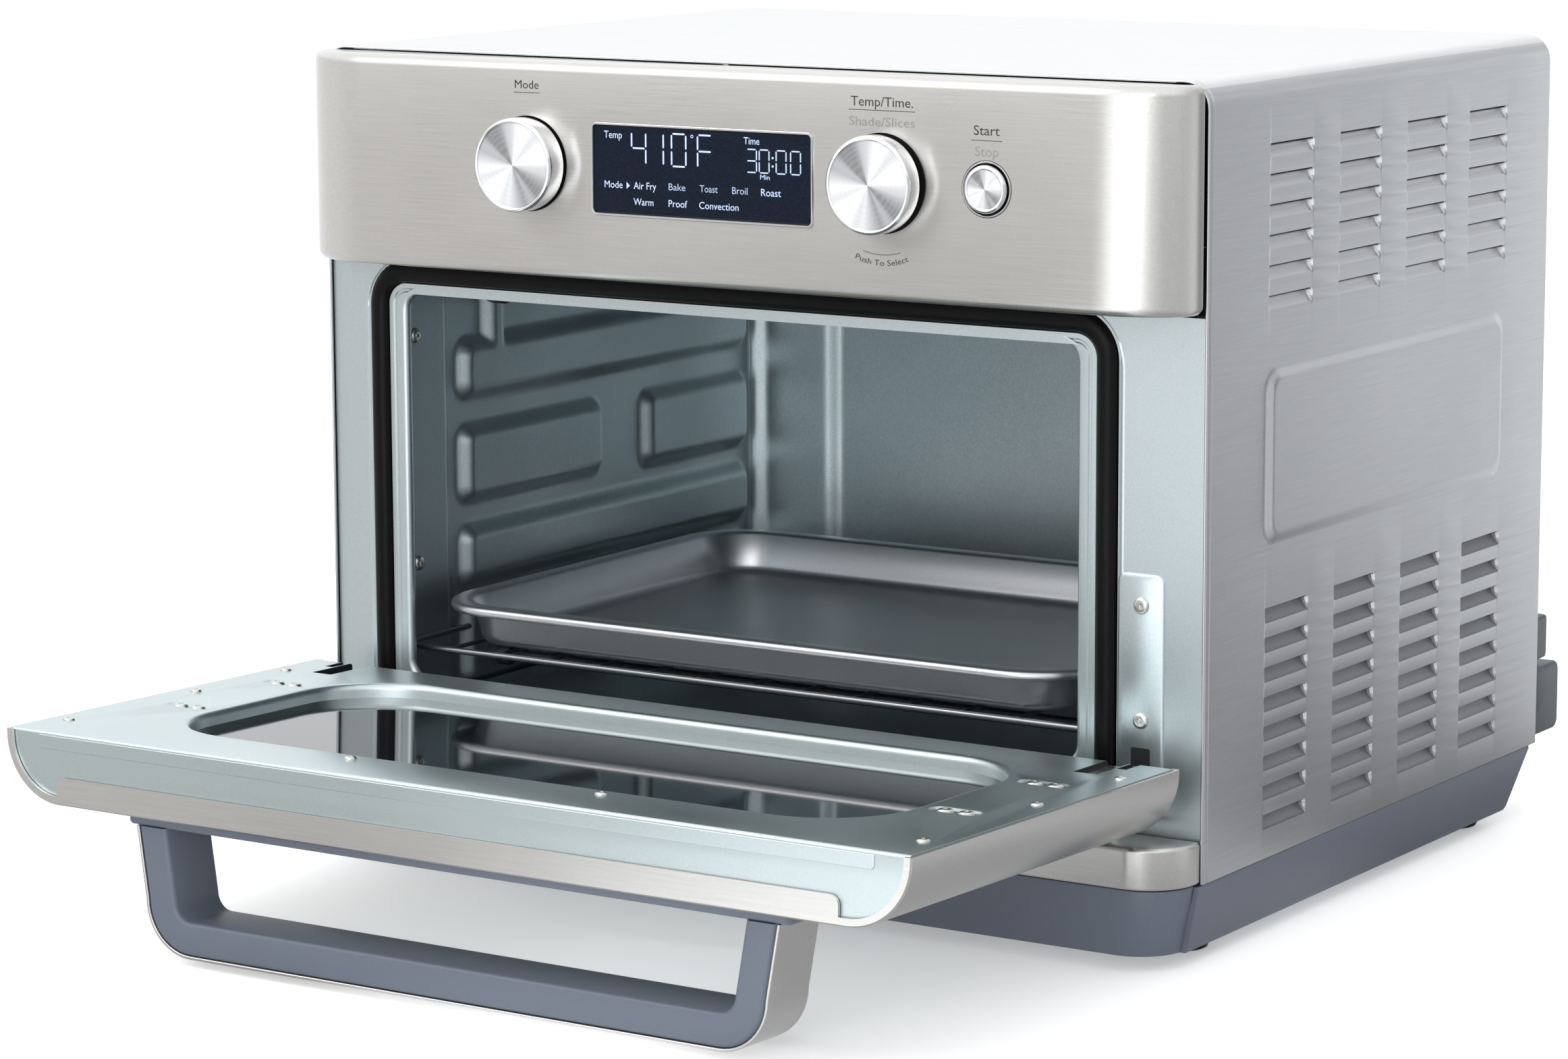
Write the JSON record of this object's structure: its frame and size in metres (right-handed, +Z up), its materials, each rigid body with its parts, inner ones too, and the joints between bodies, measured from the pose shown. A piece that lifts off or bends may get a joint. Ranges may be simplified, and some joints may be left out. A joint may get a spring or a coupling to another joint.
{
  "type": "toaster oven",
  "caption": "Countertop toaster oven with a drop-down glass door, bow handle, digital display, two turning knobs, a start button and a sliding baking pan.",
  "frame": {"origin": "centre of the bounding box's bottom with the door open, on the surface that the feet stand on", "axes": "+Z up, +Y from the door to the back of the oven, +X to the right as seen from the front"},
  "size_m": [0.462, 0.6022, 0.3719],
  "materials": {
    "brushed_stainless": "brushed stainless steel",
    "aluminised_steel": "pale blue-grey aluminised sheet",
    "slate_plastic": "fine-textured slate grey plastic",
    "black_rubber": "matt black rubber",
    "black_gloss": "glossy black display window",
    "clear_glass": "toughened door glass",
    "chrome": "bright plated steel",
    "spun_aluminium": "radially spun aluminium",
    "satin_pan": "satin silver pan",
    "element_sheath": "dark metal-sheathed heating rod",
    "circuit_board": "green circuit board",
    "black_plastic": "moulded black plastic"
  },
  "bodies": {
    "cabinet": {"base_tray": "slate_plastic", "cavity_back": "aluminised_steel", "cavity_ceiling": "aluminised_steel", "cavity_floor": "aluminised_steel", "cavity_wall_left": "aluminised_steel", "cavity_wall_right": "aluminised_steel", "chassis_floor": "aluminised_steel", "control_board": "circuit_board", "control_panel": "brushed_stainless", "cord_gland": "black_plastic", "crumb_tray": "aluminised_steel", "display_bezel": "chrome", "display_lens": "black_gloss", "display_module": "black_plastic", "door_gasket": "black_rubber", "element_bottom_front": "element_sheath", "element_bottom_rear": "element_sheath", "element_top_front": "element_sheath", "element_top_rear": "element_sheath", "foot_front_left": "black_rubber", "foot_front_right": "black_rubber", "foot_rear_left": "black_rubber", "foot_rear_right": "black_rubber", "front_frame": "aluminised_steel", "hinge_lug_left": "chrome", "hinge_lug_right": "chrome", "lower_trim": "brushed_stainless", "mode_encoder": "black_plastic", "outer_wrapper": "brushed_stainless", "power_board": "circuit_board", "rear_bumper_left": "slate_plastic", "rear_bumper_right": "slate_plastic", "rear_panel": "aluminised_steel", "rear_spacer_left": "slate_plastic", "rear_spacer_right": "slate_plastic", "relay_block": "black_plastic", "skirt_front": "slate_plastic", "skirt_left": "slate_plastic", "skirt_right": "slate_plastic", "start_ring": "chrome", "start_switch": "black_plastic", "temperature_encoder": "black_plastic", "temperature_probe": "chrome", "wire_rack": "chrome"},
    "door": {"door_outer_shell": "brushed_stainless", "door_inner_panel": "aluminised_steel", "door_inner_glass": "clear_glass", "door_outer_glass": "clear_glass", "handle_base": "slate_plastic", "handle_grip": "slate_plastic", "handle_band": "brushed_stainless", "hinge_knuckle_left": "chrome", "hinge_knuckle_right": "chrome"},
    "pan": {"baking_pan": "satin_pan"},
    "mode_control": {"mode_knob": "spun_aluminium", "mode_shaft": "chrome"},
    "temperature_plunger": {"temperature_shaft": "chrome"},
    "temperature_control": {"temperature_knob": "spun_aluminium"},
    "start_key": {"start_button": "spun_aluminium"}
  },
  "joints": [
    {"name": "door_hinge", "type": "hinge", "parent": "cabinet", "child": "door", "pos_m": [0, -0.09525, 0.0681], "axis": [-1, 0, 0], "range_deg": [0, 88.5]},
    {"name": "pan_slide", "type": "slide", "parent": "cabinet", "child": "pan", "axis": [0, 1, 0], "range_m": [-0.21, 0]},
    {"name": "mode_turn", "type": "hinge", "parent": "cabinet", "child": "mode_control", "pos_m": [-0.0955, -0.10085, 0.3255], "axis": [0, -1, 0], "continuous": true},
    {"name": "temperature_push", "type": "slide", "parent": "cabinet", "child": "temperature_plunger", "axis": [0, 1, 0], "range_m": [0, 0.002], "stiffness_N_per_m": 400, "springref_m": -0.001},
    {"name": "temperature_turn", "type": "hinge", "parent": "temperature_plunger", "child": "temperature_control", "pos_m": [0.0875, -0.10285, 0.3255], "axis": [0, -1, 0], "continuous": true},
    {"name": "start_push", "type": "slide", "parent": "cabinet", "child": "start_key", "axis": [0, 1, 0], "range_m": [0, 0.0015], "stiffness_N_per_m": 300, "springref_m": -0.001}
  ]
}
